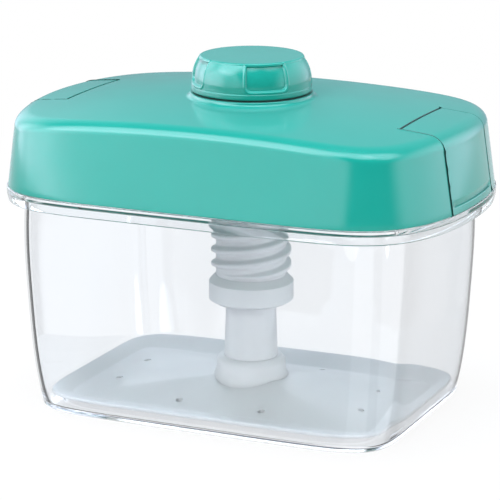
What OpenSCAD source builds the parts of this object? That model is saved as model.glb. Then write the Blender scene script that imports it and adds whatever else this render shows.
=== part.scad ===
/* [Container] */
// How far the ends of the wall lean in from the rim to the foot
lean_ends = 5.2; // [2:0.1:8]
// How far the long sides of the wall lean in from the rim to the foot
lean_sides = 3.4; // [2:0.1:6]
// How far the middle of the wall swells out beyond a straight lean
wall_swell = 2.3; // [0.2:0.1:3.5]
// Wall thickness of the container
wall = 2.4; // [1.6:0.1:3]
// Thickness of the container floor
floor_thickness = 1.8; // [1.6:0.1:4]
// Height of the narrow ring that the container stands on
foot_height = 0.6; // [0.3:0.1:1.5]
// Width of the standing ring
foot_width = 5; // [3:0.5:12]
// Radius of the outside bottom edge
foot_radius = 3; // [1:0.5:6]
// Radius between the floor and the wall inside
floor_radius = 1.6; // [0.6:0.2:2]

/* [Rim] */
// Height of the rim face that carries the lid
rim_height = 101; // [85:0.5:125]
// Distance from the lower edge of the lid in to the wall at the ends
rim_reach_ends = 16.3; // [13:0.1:20]
// Distance from the lower edge of the lid in to the wall along the sides
rim_reach_sides = 7.5; // [6.6:0.1:12]
// How far the rim stands out beyond the lid
rim_overhang = 0.5; // [0.2:0.1:1.5]
// Thickness of the rim's flat ledge and of its turned-down lip
rim_thickness = 2.4; // [1.8:0.1:3]
// Depth of the rim's outer face, ledge and lip together
rim_depth = 6.2; // [4.5:0.1:9]
// Height of the upstand that locates the lid
upstand_height = 6; // [5:0.1:8]
// How far the catch bead stands out from the upstand
bead_reach = 1.4; // [0.8:0.1:1.8]
// Height of the catch bead
bead_height = 1.6; // [1:0.1:2]

/* [Lid] */
// Length of the lid at its lower edge
lid_length = 212; // [206:0.2:222]
// Width of the lid at its lower edge
lid_width = 140.2; // [136:0.2:150]
// Height of the middle of the lid above the rim
lid_rise = 39.5; // [36:0.5:48]
// Thickness of the lid's shell
lid_skin = 2.2; // [1.6:0.1:2.8]
// How far the ends lean in from the lower edge to the shoulder
draft_ends = 3.9; // [3:0.1:6]
// How far the long sides lean in from the lower edge to the shoulder
draft_sides = 3.6; // [3:0.1:6]
// Width of the round shoulder at the ends
shoulder_ends = 7; // [5:0.2:10]
// Width of the round shoulder along the sides
shoulder_sides = 6; // [4:0.2:8]
// Height of the round shoulder
shoulder_height = 5.8; // [5:0.2:10]
// Fall of the top from the middle to the ends
crown_ends = 6.4; // [3:0.1:8]
// Fall of the top from the middle to the long sides
crown_sides = 3.6; // [2:0.1:6]
// Diameter of the raised ring under the knob
boss_diameter = 59; // [56:0.5:62]
// Height of the raised ring above the top of the lid
boss_height = 1.5; // [1:0.1:3]
// Radius of the fillet round the raised ring
boss_fillet = 4; // [2:0.5:6]
// Length of the threaded sleeve below the top of the lid
sleeve_length = 20; // [16:0.5:22]
// Wall of the threaded sleeve
sleeve_wall = 3; // [2:0.1:4]
// Thickness of the ribs under the lid
rib_thickness = 1.8; // [1.2:0.1:2.4]
// Depth of the ribs at the sleeve
rib_depth = 11; // [6:0.5:14]
// Depth of the ribs at their outer ends
rib_end_depth = 3; // [2:0.5:6]
// Distance from the slit, and from the shoulder, to the outer end of a rib
rib_stop = 6; // [4:0.5:12]

/* [Clips] */
// Width of the end clips
clip_width = 50; // [40:1:56]
// Distance from the end of the lid to the inner edge of a clip
clip_reach = 27; // [24:0.2:30]
// Gap along the inner edge of a clip
slit_gap = 1.2; // [1:0.1:1.8]
// Gap along each side edge of a clip
clip_gap = 0.7; // [0.4:0.1:0.8]
// Thickness of the side webs of a clip and of the ears that carry it
ear_thickness = 3; // [2.4:0.1:4]
// Diameter of the pivot pins
pivot_diameter = 3.4; // [2.8:0.1:4]
// Height of the pivot pins below the middle of the lid
pivot_drop = 9; // [8.6:0.1:10]
// Distance of the pivot pins from the end of the lid
pivot_inset = 14; // [12:0.2:16]
// Width of the hook inside a clip
hook_width = 26; // [16:1:32]
// Thickness of the hook
hook_thickness = 2.2; // [1.6:0.1:2.6]
// Width of the finger groove
groove_width = 46; // [30:1:48]
// Depth of the finger groove
groove_depth = 0.9; // [0.6:0.1:1.3]
// Height of the finger groove
groove_height = 2.8; // [2.2:0.1:5]
// Height of the lip left under the finger groove
groove_lip = 3.2; // [2.5:0.1:5]

/* [Knob] */
// Diameter of the knob at its lower edge
knob_diameter = 53.4; // [50:0.2:56]
// Diameter of the knob at its upper edge
knob_top_diameter = 45.6; // [43:0.2:47]
// Height of the knob
knob_height = 15.6; // [14:0.2:20]
// Height over which the side of the knob stands straight
knob_straight = 5; // [3:0.2:8]
// Width of the round on the knob's upper edge
knob_edge = 0.8; // [0.4:0.1:1.5]
// Wall of the knob
knob_wall = 2.4; // [2:0.1:3]
// Gap between the knob and the raised ring, screwed right down
knob_gap = 0.8; // [0.4:0.1:1.5]
// Depth of the four grip panels
panel_depth = 1.2; // [0.6:0.1:1.4]
// Angle that each grip panel spans
panel_angle = 41; // [30:1:60]
// Height of the band left under the grip panels
panel_foot = 3.8; // [3:0.1:5]
// Direction of the first grip panel
panel_turn = -51; // [-90:1:0]

/* [Screw] */
// Outside diameter of the thread
thread_diameter = 35.8; // [35:0.1:36.6]
// Depth of the thread
thread_depth = 2.2; // [2:0.1:2.5]
// Distance from one thread crest to the next
thread_pitch = 6.5; // [5.5:0.1:7.5]
// Bore of the tube
tube_bore = 27.2; // [26.6:0.1:27.6]
// Diameter of the collar at the foot of the tube
collar_diameter = 37.8; // [37.2:0.1:39]
// Height of the collar
collar_height = 12.8; // [11:0.2:16]
// Width and height of the slope on the collar's lower edge
collar_foot_slope = [2.6, 1.6]; // [1:0.1:4]
// Width and height of the slope on the collar's upper edge
collar_top_slope = [2.9, 3.1]; // [1:0.1:4]
// Height of the underside of the collar above the foot of the container
collar_level = 46; // [42:0.2:48]
// Thickness of the collar's floor
collar_floor = 3; // [2.4:0.1:4]

/* [Press] */
// Diameter of the stem at the collar
stem_diameter = 22.4; // [21.4:0.1:22.8]
// Diameter of the stem at the hub
stem_foot_diameter = 24; // [23.4:0.1:25]
// Diameter of the hub on the plate
hub_diameter = 31; // [29:0.2:36]
// Height of the top of the hub above the foot of the container
hub_level = 21; // [19:0.2:23]
// How far the spring lets the plate give
spring_give = 14; // [8:0.5:16]
// Thickness of the plate
plate_thickness = 1.8; // [1.6:0.1:2.4]
// Gap between the plate and the wall at the floor
plate_gap = 1.2; // [0.8:0.1:2]
// Width of the border that slopes up to the plate's edge, at the ends and along the sides
border_width = [8, 15]; // [5:0.5:20]
// Rise of the border from its valley to the edge of the plate
border_rise = 3.2; // [1.5:0.1:4]
// Rise of the plate from the valley to the hub
plate_rise = 7.5; // [4:0.1:8]
// Length and width of the plate's raised middle
plate_peak = [28, 18]; // [10:1:60]
// Distance of the drain holes along the ends, and along the sides, from the middle of the plate
drain_offset = [14.5, 20]; // [8:0.1:30]
// Distance of the drain holes from the ends, and from the sides, of the plate
drain_inset = [21.4, 22.1]; // [18:0.1:26]
// Width and height of the round on the hub's upper edge
hub_round = [3, 3.4]; // [1:0.1:3.4]
// Diameter of the drain holes
drain_diameter = 3.4; // [2:0.1:5]

/* [Spring] */
// Diameter of the spring wire
wire_diameter = 1.8; // [1.4:0.1:2.2]
// Outside diameter of the spring
spring_diameter = 23; // [21:0.2:24]
// Number of turns of the spring
spring_turns = 12; // [8:1:14]
// Thickness of the slip washer over the spring
washer_thickness = 1.5; // [1:0.1:2.5]
// Thickness of the stem's head
head_thickness = 3.4; // [2.6:0.1:5]
// Height of the peg that centres the spring on the head
peg_height = 6; // [4:0.5:10]

/* [Clearances] */
// Clearance of parts that slide or turn in one another
running_gap = 0.4; // [0.35:0.05:0.5]
// Clearance of the clips' pivot pins in their ears
pivot_gap = 0.1; // [0.05:0.05:0.2]
// Clearance of parts that are pressed together
press_gap = 0.05; // [0.05:0.01:0.1]
// Gap under parts that rest on one another
seat_gap = 0.1; // [0.05:0.05:0.2]

/* [Hidden] */

$fn = 96;
teal = "mediumaquamarine";
milky = "ghostwhite";

// Sides of the outlines, steps of the round edges
sides = 72;
edge_steps = 4;
wall_steps = 6;

// Bowing of the outlines: exponents along the length and along the width
lid_bow = [6.85, 2.15];
shoulder_bow = [9.1, 1.8];
wall_bow = [6.4, 8];
plate_bow = [14, 14];

// Heights
floor_top = foot_height + floor_thickness;
container_top = rim_height + upstand_height;
lid_foot = rim_height + seat_gap;
lid_top = rim_height + lid_rise;
boss_top = lid_top + boss_height;
knob_foot = boss_top + knob_gap;
knob_top = knob_foot + knob_height;
knob_ceiling = knob_top - knob_wall;
collar_top = collar_level + collar_height;
collar_seat = collar_level + collar_floor;
sleeve_foot = lid_top - sleeve_length;
valley_top = floor_top + running_gap + plate_thickness;

// Half sizes of the outlines
lid_half = [lid_length, lid_width] / 2;
shoulder_half = lid_half - [draft_ends, draft_sides];
shoulder_round = [shoulder_ends, shoulder_sides];
mouth_half = lid_half - [rim_reach_ends, rim_reach_sides];
base_half = mouth_half - [lean_ends, lean_sides];
plate_half = base_half - (wall + plate_gap) * [1, 1];

// Half size of the wall's outside at a share of its height, from the foot's edge to the rim
function wall_half(w) = base_half + (mouth_half - base_half) * w
    + wall_swell * (1 - pow(abs(2 * w - 1), 3)) * [1, 1];

// The screw: two starts, so a full turn lifts it by two pitches
thread_starts = 2;
thread_lead = thread_starts * thread_pitch;
crest_r = thread_diameter / 2;
root_r = crest_r - thread_depth;
crest_share = 0.26;
root_share = 0.4;
thread_sides = 28;
thread_rows = 6;
sleeve_bore = thread_diameter + 2 * running_gap;
lug_angle = 12;
lug_height = 1.4;
lug_reach = 0.72;
lug_flank = 0.6;
lug_rise = 4;
lug_level = sleeve_foot + lug_rise;

// The knob's socket holds the plain top of the tube
socket_depth = 9;
side_steps = 6;
socket_wall = 2.6;
thread_relief = 1;
thread_top = knob_ceiling - socket_depth - thread_relief;
thread_foot = collar_top + thread_relief;
fade_height = 1.6;

// The clips
notch_half = clip_width / 2 + clip_gap;
pivot_x = lid_half[0] - pivot_inset;
pivot_z = lid_top - pivot_drop;
ear_wall = 2.4;
ear_radius = pivot_diameter / 2 + ear_wall;
pin_end_gap = 0.7;
pin_wall = 0.8;
hook_lift = 0.9;
hook_play = 0.5;
catch_gap = 0.35;
hook_level = rim_height + hook_lift;
bead_level = hook_level + hook_thickness + hook_play;
hook_tip = mouth_half[0] + bead_reach + catch_gap;

// How far cuts run past what they cut, and how far joined shapes run into one another
past = 2;
root = 0.5;

// The stem and the spring
stem_r = stem_diameter / 2;
stem_foot_r = stem_foot_diameter / 2;
hub_socket = 8;
turn_rings = 8;
wire_sides = 6;
closed_rise = 1.3;

// Power that keeps the sign of its base
function bow(v, e) = sign(v) * pow(abs(v), 2 / e);

// Point k of an outline with half sizes h and bowing e
function outline(h, e, k) = let (t = 360 * k / sides) [h[0] * bow(cos(t), e[0]), h[1] * bow(sin(t), e[1])];

// Level ring of points at height z
function ring(h, e, z) = [for (k = [0 : sides - 1]) let (p = outline(h, e, k)) [p[0], p[1], z]];

// Fall of the lid's top at a point
function crown(p) = crown_ends * pow(p[0] / lid_half[0], 2) + crown_sides * pow(p[1] / lid_half[1], 2);

// Ring that follows the crown of the lid, part by share
function crowned(h, e, z, share) =
    [for (k = [0 : sides - 1]) let (p = outline(h, e, k)) [p[0], p[1], z - share * crown(p)]];

// Rings of the lid's surface from its lower edge to near the middle, set in by s
function lid_rings(s) = concat(
    [for (u = [0, 0.5, 1])
        crowned(lid_half + u * (shoulder_half - lid_half) - s * [1, 1],
            lid_bow + u * (shoulder_bow - lid_bow),
            lid_foot + u * (lid_top - shoulder_height - lid_foot), u)],
    [for (i = [1 : edge_steps]) let (t = 90 * i / edge_steps, r = shoulder_round - s * [1, 1])
        crowned(shoulder_half - s * [1, 1] - (1 - cos(t)) * r, shoulder_bow,
            lid_top - shoulder_height + (shoulder_height - s) * sin(t), 1)],
    [for (q = [0.72, 0.4])
        crowned(q * (shoulder_half - shoulder_round), shoulder_bow, lid_top - s, 1)]);

function reversed(a) = [for (i = [len(a) - 1 : -1 : 0]) a[i]];

// Radius of the stem at height z: drawn in evenly from the hub to the collar
function stem_radius(z) =
    stem_r + (stem_foot_r - stem_r) * (collar_level - z) / (collar_level - hub_level);

// Solid between a stack of rings, closed by fans at the middle of its first and last ring
module stacked(rings, first, last) {
    n = len(rings[0]);
    m = len(rings);
    points = concat([for (r = rings) each r], [[0, 0, first], [0, 0, last]]);
    sheet = [for (i = [0 : m - 2], k = [0 : n - 1]) let (j = (k + 1) % n)
        each [[i * n + k, (i + 1) * n + k, (i + 1) * n + j], [i * n + k, (i + 1) * n + j, i * n + j]]];
    ends = [for (k = [0 : n - 1]) let (j = (k + 1) % n)
        each [[m * n, k, j], [m * n + 1, (m - 1) * n + j, (m - 1) * n + k]]];
    polyhedron(points, concat(sheet, ends), convexity = 8);
}

// Solid of a closed band of rings, the last joined to the first
module banded(rings) {
    n = len(rings[0]);
    m = len(rings);
    points = [for (r = rings) each r];
    sheet = [for (i = [0 : m - 1], k = [0 : n - 1]) let (j = (k + 1) % n, h = (i + 1) % m)
        each [[i * n + k, h * n + k, h * n + j], [i * n + k, h * n + j, i * n + j]]];
    polyhedron(points, sheet, convexity = 12);
}

// Turned solid from a half profile of [radius, height] points
module turned(profile) rotate_extrude() polygon(profile);

// Clear container: foot, swelling tapered wall, rim with a turned-down lip, upstand with a catch bead
module container() color("lightcyan", 0.4) {
    lip = lid_half + rim_overhang * [1, 1];
    ledge_under = rim_height - rim_thickness;
    lip_foot = rim_height - rim_depth;
    lean = [1, 1] * rim_thickness;
    bead = mouth_half + bead_reach * [1, 1];
    foot_half = base_half - (foot_radius + foot_width) * [1, 1];
    outside = concat(
        [ring(foot_half - foot_height * [1, 1], wall_bow, foot_height), ring(foot_half, wall_bow, 0)],
        [for (i = [0 : edge_steps - 1]) let (t = 90 * i / (edge_steps - 1))
            ring(base_half - foot_radius * (1 - sin(t)) * [1, 1], wall_bow, foot_radius * (1 - cos(t)))],
        [for (i = [1 : wall_steps - 1]) let (w = i / wall_steps)
            ring(wall_half(w), wall_bow, foot_radius + (ledge_under - foot_radius) * w)]);
    rim = [
        ring(mouth_half, wall_bow, ledge_under),
        ring(lip - lean, lid_bow, ledge_under),
        ring(lip - 3 * lean / 4, lid_bow, lip_foot),
        ring(lip - lean / 4, lid_bow, lip_foot),
        ring(lip, lid_bow, rim_height - rim_depth / 2),
        ring(lip, lid_bow, rim_height),
        ring(mouth_half, wall_bow, rim_height),
        ring(mouth_half, wall_bow, bead_level),
        ring(bead, wall_bow, bead_level),
        ring(bead, wall_bow, bead_level + bead_height / 2),
        ring(mouth_half, wall_bow, bead_level + bead_height),
        ring(mouth_half, wall_bow, container_top)];
    floor_half = base_half - wall * [1, 1];
    inside = concat(
        [ring(mouth_half - wall * [1, 1], wall_bow, container_top)],
        [for (i = [wall_steps : -1 : 1]) let (w = i / wall_steps)
            ring(wall_half(w) - wall * [1, 1], wall_bow, foot_radius + (ledge_under - foot_radius) * w)],
        [for (i = [0 : edge_steps - 1]) let (t = 90 * i / (edge_steps - 1))
            ring(floor_half - floor_radius * (1 - cos(t)) * [1, 1], wall_bow,
                floor_top + floor_radius * (1 - sin(t)))]);
    stacked(concat(outside, rim, inside), foot_height, floor_top);
}

// Solid under the lid's surface set in by s
module lid_core(s) stacked(lid_rings(s), lid_foot, lid_top - s);

// The whole moulded shell of the lid, before the clips are parted from it
module lid_shell() {
    stacked(concat(reversed(lid_rings(lid_skin)), lid_rings(0)), lid_top - lid_skin, lid_top);
}

// Lid: shell with raised ring, threaded sleeve, ribs and the ears of both clips
module lid() color(teal) {
    difference() {
        union() {
            difference() {
                lid_shell();
                for (s = [-1, 1]) clip_space(s, clip_reach, notch_half);
            }
            boss_and_sleeve();
            ribs();
            intersection() {
                lid_core(lid_skin / 2);
                for (s = [-1, 1], e = [-1, 1]) ear(s, e);
            }
        }
        translate([0, 0, sleeve_foot - past])
            cylinder(d = sleeve_bore, h = sleeve_length + boss_height + 2 * past);
        for (s = [-1, 1]) translate([s * pivot_x, 0, pivot_z]) rotate([90, 0, 0])
            cylinder(d = pivot_diameter + 2 * pivot_gap, h = 2 * (notch_half + ear_thickness - pin_wall),
                center = true);
    }
    thread_lugs();
}

// Block that parts a clip from the lid, on side s
module clip_space(s, reach, half) {
    depth = reach + rim_overhang + past;
    translate([s * (lid_half[0] - reach + depth / 2), 0, (lid_foot + lid_top) / 2])
        cube([depth, 2 * half, lid_rise * 2], center = true);
}

// Raised ring with its fillet, and the sleeve below it
module boss_and_sleeve() {
    r = boss_diameter / 2;
    bore = sleeve_bore / 2 - root;
    sunk = crown([0, r + boss_fillet]) + root / 2;
    edge = 0.8;
    sleeve = sleeve_bore / 2 + sleeve_wall;
    under = lid_top - lid_skin;
    turned(concat(
        [[bore, sleeve_foot], [sleeve, sleeve_foot], [sleeve, under - 2 * root],
         [r + boss_fillet, under + root / 2]],
        [for (i = [0 : edge_steps]) let (t = 90 * i / edge_steps)
            [r + boss_fillet * (1 - sin(t)), lid_top - sunk + (boss_height + sunk) * (1 - cos(t))]],
        [[r - edge, boss_top], [bore, boss_top]]));
}

// Short lengths of internal thread at the foot of the sleeve, two to a level
module thread_lugs() {
    tip = crest_r - lug_reach * thread_depth;
    back = sleeve_bore / 2 + root;
    for (level = [0, 1], a = [0, 180])
        translate([0, 0, lug_level + level * thread_pitch]) rotate(a - lug_angle / 2)
            rotate_extrude(angle = lug_angle)
                polygon([[tip, -lug_height / 2], [back, -lug_height / 2 - lug_flank],
                    [back, lug_height / 2 + lug_flank], [tip, lug_height / 2]]);
}

// Ribs from the sleeve towards the ends and the sides
module ribs() {
    for (a = [0, 90, 180, 270]) {
        reach = a % 180 == 0 ? lid_half[0] - clip_reach - rib_stop
            : shoulder_half[1] - shoulder_sides - rib_stop;
        inner = sleeve_bore / 2 + sleeve_wall / 2;
        fall = a % 180 == 0 ? crown([reach, 0]) : crown([0, reach]);
        mid = lid_top - lid_skin / 2;
        rotate(a) rotate([90, 0, 0]) linear_extrude(rib_thickness, center = true)
            polygon([[inner, mid - rib_depth], [inner, mid - root],
                [reach / 2, mid - fall / 4], [reach, mid - fall], [reach, mid - fall - rib_end_depth]]);
    }
}

// Ear that carries one pivot pin of the clip on side s
module ear(s, e) {
    translate([s * pivot_x, e * (notch_half + ear_thickness / 2), pivot_z]) hanger();
}

// Plate of an ear or a web, round below, about the pivot
module hanger() rotate([90, 0, 0]) linear_extrude(ear_thickness, center = true) {
    circle(ear_radius);
    translate([-ear_radius, 0]) square([2 * ear_radius, pivot_drop]);
}

// End clip on side s: parted from the lid's shell, with webs, pivot pins and a hook
module clip(s) color(teal) {
    inner = clip_reach - slit_gap;
    difference() {
        union() {
            intersection() {
                lid_shell();
                clip_space(s, inner, clip_width / 2);
            }
            intersection() {
                lid_core(lid_skin / 2);
                for (e = [-1, 1]) clip_web(s, e);
            }
            clip_hook(s);
        }
        finger_groove(s);
    }
}

// Side web with its pivot pin
module clip_web(s, e) {
    edge = clip_width / 2;
    pin = clip_gap + ear_thickness - pin_wall - pin_end_gap;
    translate([s * pivot_x, 0, pivot_z]) {
        translate([0, e * (edge - ear_thickness / 2), 0]) hanger();
        translate([0, e * (edge + (pin - root) / 2), 0]) rotate([90, 0, 0])
            cylinder(d = pivot_diameter, h = pin + root, center = true);
    }
}

// Hook that reaches under the catch bead
module clip_hook(s) {
    length = lid_half[0] - lid_skin + root - hook_tip;
    translate([s * (hook_tip + length / 2), 0, hook_level + hook_thickness / 2])
        cube([length, hook_width, hook_thickness], center = true);
}

// Finger groove above the clip's lower lip, as deep all along the bowed end
module finger_groove(s) {
    difference() {
        translate([s * lid_half[0], 0, lid_foot + groove_lip + groove_height / 2])
            cube([clip_reach, groove_width, groove_height], center = true);
        lid_core(groove_depth);
    }
}

module left_clip() clip(-1);

module right_clip() clip(1);

// Radius of the knob's side at height h: straight, then drawn in along an arc
function knob_side(h) =
    let (fall = (knob_diameter - knob_top_diameter) / 2, rise = knob_height - knob_straight,
        arc = (fall * fall + rise * rise) / (2 * fall), over = max(0, h - knob_straight))
    knob_diameter / 2 - arc + sqrt(arc * arc - over * over);

// Points along the knob's side from height low to height high, set in by s
function knob_curve(low, high, s) = [for (i = [0 : side_steps])
    let (h = low + (high - low) * i / side_steps) [knob_side(h) - s, knob_foot + h]];

// Knob: cap with four grip panels and a socket for the tube
module knob() color(teal) {
    socket = root_r + press_gap;
    shoulder = knob_height - knob_edge;
    ceiling = knob_height - knob_wall;
    difference() {
        turned(concat(
            [[knob_diameter / 2 - knob_wall, knob_foot], [knob_diameter / 2 - knob_edge / 2, knob_foot]],
            knob_curve(knob_edge, shoulder, 0),
            [[knob_top_diameter / 2 - knob_edge / 3, knob_top - knob_edge / 3],
             [knob_top_diameter / 2 - knob_edge, knob_top], [0, knob_top], [0, knob_ceiling],
             [socket, knob_ceiling], [socket, knob_ceiling - socket_depth],
             [socket + socket_wall, knob_ceiling - socket_depth], [socket + socket_wall, knob_ceiling]],
            reversed(knob_curve(knob_edge, ceiling, knob_wall))));
        for (a = [0 : 90 : 270]) rotate(panel_turn + a - panel_angle / 2) rotate_extrude(angle = panel_angle)
            polygon(concat(
                [[knob_diameter / 2 + past, knob_foot + panel_foot]],
                knob_curve(panel_foot, knob_height, panel_depth),
                [[knob_top_diameter / 2 - panel_depth - root, knob_top + past],
                 [knob_diameter / 2 + past, knob_top + past]]));
    }
}

// Share of the thread's depth at a phase, 0 in the middle of the groove
function thread_form(phase) = let (f = abs(phase - round(phase)) * 2)
    min(1, max(0, (f - root_share) / (1 - crest_share - root_share)));

// Radius of the screw at angle a and height z
function thread_radius(a, z) =
    let (fade = min(1, max(0, min(z - thread_foot, thread_top - z) / fade_height)))
    root_r + fade * thread_depth * thread_form((z - lug_level) / thread_pitch - thread_starts * a / 360);

// Screw tube: two-start thread outside, plain ends for the collar and the knob
module screw_tube() color(milky) {
    foot = collar_seat;
    top = knob_ceiling;
    step = thread_pitch / thread_rows;
    rows = floor((thread_top - thread_foot) / step);
    levels = concat([foot],
        [for (i = [0 : rows]) thread_foot + i * (thread_top - thread_foot) / rows], [top]);
    outer = [for (z = levels) [for (k = [0 : thread_sides - 1])
        let (a = 360 * k / thread_sides, r = thread_radius(a, z)) [r * cos(a), r * sin(a), z]]];
    inner = [for (z = [top, foot]) [for (k = [0 : thread_sides - 1])
        let (a = 360 * k / thread_sides) [tube_bore / 2 * cos(a), tube_bore / 2 * sin(a), z]]];
    banded(concat(outer, inner));
}

// Collar: holds the head of the stem in the tube
module tube_collar() color(milky) {
    r = collar_diameter / 2;
    bore = stem_radius(collar_level - spring_give) + running_gap;
    edge = 0.6;
    turned([[bore, collar_level + edge], [bore + edge, collar_level],
        [r - collar_foot_slope[0], collar_level], [r, collar_level + collar_foot_slope[1]],
        [r, collar_top - collar_top_slope[1]], [r - collar_top_slope[0], collar_top],
        [root_r + press_gap, collar_top], [root_r + press_gap, collar_seat], [bore, collar_seat]]);
}

// Slip washer: lets the knob turn without winding up the spring
module slip_washer() color("gainsboro") {
    r = tube_bore / 2 - running_gap;
    translate([0, 0, knob_ceiling - washer_thickness]) difference() {
        cylinder(r = r, h = washer_thickness);
        translate([0, 0, -past]) cylinder(r = r / 2, h = washer_thickness + 2 * past);
    }
}

// Height of the spring wire after t turns: closed end turns of height lap, the rest rising evenly
function coil_height(t, low, high, lap, rise) =
    t < 1 ? low + lap * t
    : t > spring_turns - 1 ? high - lap * (spring_turns - t)
    : low + lap + rise * (t - 1);

// Pressure spring: one wire from the stem's head to the washer, with closed end turns
module pressure_spring() color("silver") {
    wire = wire_diameter / 2;
    mean = spring_diameter / 2 - wire;
    low = collar_seat + head_thickness + wire + seat_gap;
    high = knob_ceiling - washer_thickness - wire - seat_gap;
    lap = wire_diameter * closed_rise;
    count = spring_turns * turn_rings;
    rise = (high - low - 2 * lap) / (spring_turns - 2);
    rings = [for (i = [0 : count]) let (t = i / turn_rings, a = 360 * t)
        [for (k = [0 : wire_sides - 1]) let (b = -360 * k / wire_sides, r = mean + wire * cos(b))
            [r * cos(a), r * sin(a), coil_height(t, low, high, lap, rise) + wire * sin(b)]]];
    echo(least_gap = min(rise, lap) - wire_diameter);
    tube_along(rings);
}

// Tube along a row of rings, with flat ends
module tube_along(rings) {
    n = len(rings[0]);
    m = len(rings);
    points = [for (r = rings) each r];
    sheet = [for (i = [0 : m - 2], k = [0 : n - 1]) let (j = (k + 1) % n)
        each [[i * n + k, (i + 1) * n + k, (i + 1) * n + j], [i * n + k, (i + 1) * n + j, i * n + j]]];
    ends = [for (k = [1 : n - 2]) each [[0, k, k + 1], [(m - 1) * n, (m - 1) * n + k + 1, (m - 1) * n + k]]];
    polyhedron(points, concat(sheet, ends), convexity = 12);
}

// Stem head: the stop on top of the stem, and the seat of the spring
module stem_head() color(milky) {
    r = tube_bore / 2 - running_gap;
    peg = (spring_diameter / 2 - wire_diameter) * cos(180 / turn_rings) - running_gap;
    edge = 1;
    seat = collar_seat + head_thickness;
    turned([[0, collar_seat], [r, collar_seat], [r, seat], [peg, seat], [peg, seat + peg_height - edge],
        [peg - edge, seat + peg_height], [0, seat + peg_height]]);
}

// Press stem: slides in the collar, widens evenly to its foot in the hub
module press_stem() color(milky) {
    foot = hub_level - hub_socket;
    turned([[0, foot], [stem_foot_r, foot], [stem_foot_r, hub_level], [stem_r, collar_level],
        [stem_r, collar_seat], [0, collar_seat]]);
}

// Press plate: shallow four-sided pyramid with a sloping border, a hub and drain holes
module press_plate() color(milky) {
    hub_r = hub_diameter / 2;
    bore_r = stem_foot_r + press_gap;
    valley_half = plate_half - border_width;
    peak_half = plate_peak / 2;
    edge = 0.6;
    peak_top = valley_top + plate_rise;
    edge_top = valley_top + border_rise;
    drains = [[plate_half[0] - drain_inset[0], drain_offset[0]],
        [drain_offset[1], plate_half[1] - drain_inset[1]]];
    t = plate_thickness;
    difference() {
        union() {
            stacked([
                ring(peak_half, plate_bow, peak_top - t),
                ring(valley_half, plate_bow, valley_top - t),
                ring(plate_half - edge * [1, 1], wall_bow, edge_top - t),
                ring(plate_half, wall_bow, edge_top - t + edge),
                ring(plate_half, wall_bow, edge_top - edge),
                ring(plate_half - edge * [1, 1], wall_bow, edge_top),
                ring(valley_half, plate_bow, valley_top),
                ring(peak_half, plate_bow, peak_top)], peak_top - t, peak_top);
            turned(concat([[0, peak_top - t], [hub_r, peak_top - t]],
                [for (i = [0 : edge_steps]) let (a = 90 * i / edge_steps)
                    [hub_r - hub_round[0] * (1 - cos(a)), hub_level - hub_round[1] * (1 - sin(a))]],
                [[0, hub_level]]));
        }
        translate([0, 0, hub_level - hub_socket]) cylinder(r = bore_r, h = hub_socket + past);
        for (sx = [-1, 1], sy = [-1, 1], hole = drains)
            translate([sx * hole[0], sy * hole[1], 0])
                cylinder(d = drain_diameter, h = 3 * hub_level, center = true);
    }
}

container();
lid();
left_clip();
right_clip();
knob();
screw_tube();
tube_collar();
slip_washer();
pressure_spring();
stem_head();
press_stem();
press_plate();
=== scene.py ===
import math

import bpy
import numpy as np
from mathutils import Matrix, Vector


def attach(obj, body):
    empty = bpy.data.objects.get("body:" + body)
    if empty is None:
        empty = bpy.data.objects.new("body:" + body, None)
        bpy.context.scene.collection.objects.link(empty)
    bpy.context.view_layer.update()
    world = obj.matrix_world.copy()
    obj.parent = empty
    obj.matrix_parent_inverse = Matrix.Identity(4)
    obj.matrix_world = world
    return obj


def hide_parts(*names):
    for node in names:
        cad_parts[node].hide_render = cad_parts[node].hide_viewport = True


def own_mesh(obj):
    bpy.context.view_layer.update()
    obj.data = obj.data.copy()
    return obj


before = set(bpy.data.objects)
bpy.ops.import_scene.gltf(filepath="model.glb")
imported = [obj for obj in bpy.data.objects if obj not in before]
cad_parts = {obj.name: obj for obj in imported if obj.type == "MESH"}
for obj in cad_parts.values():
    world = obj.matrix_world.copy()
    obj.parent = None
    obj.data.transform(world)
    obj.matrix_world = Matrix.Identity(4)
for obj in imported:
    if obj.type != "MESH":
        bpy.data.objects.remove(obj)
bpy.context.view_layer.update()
mm = 0.001
print("frame loaded with", len(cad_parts), "nodes")


# Sizes that several pieces share, in millimetres
shared = {
    "lidHalf": (106.0, 70.1), "lidBow": (6.85, 2.15), "lidFoot": 101.1, "lidTop": 140.5, "skin": 2.2,
    "shoulderHalf": (102.1, 66.5), "shoulderBow": (9.1, 1.8), "shoulderRound": (7.0, 6.0),
    "shoulderHeight": 5.8, "shoulderSteps": 12, "crownEnds": 6.4, "crownSides": 3.6,
    "wallBow": (6.4, 8.0), "baseHalf": (84.5, 59.2), "mouthHalf": (89.7, 62.6),
    "pivotX": 92.0, "pivotZ": 131.5, "earRadius": 4.1, "earThickness": 3.0, "earSteps": (24, 16),
    "sleeveBore": 18.3, "rootRadius": 15.7, "pitch": 6.5, "lugLevel": 124.5,
    "outlineSamples": 3001, "axisRadius": 0.01,
}


# Smooth step from 0 at low to 1 at high
def ease(v, low, high):
    w = np.clip((v - low) / (high - low), 0, 1)
    return w * w * (3 - 2 * w)


# Even shares from 0 to 1
def shares(steps):
    return np.linspace(0, 1, steps + 1)


# Angles of a quarter turn, from 0
def quarterTurn(steps):
    return shares(steps) * np.pi / 2


# Angles of a full turn, the last one short of the first
def fullTurn(count):
    return np.linspace(0, 2 * np.pi, count, endpoint=False)


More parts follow.
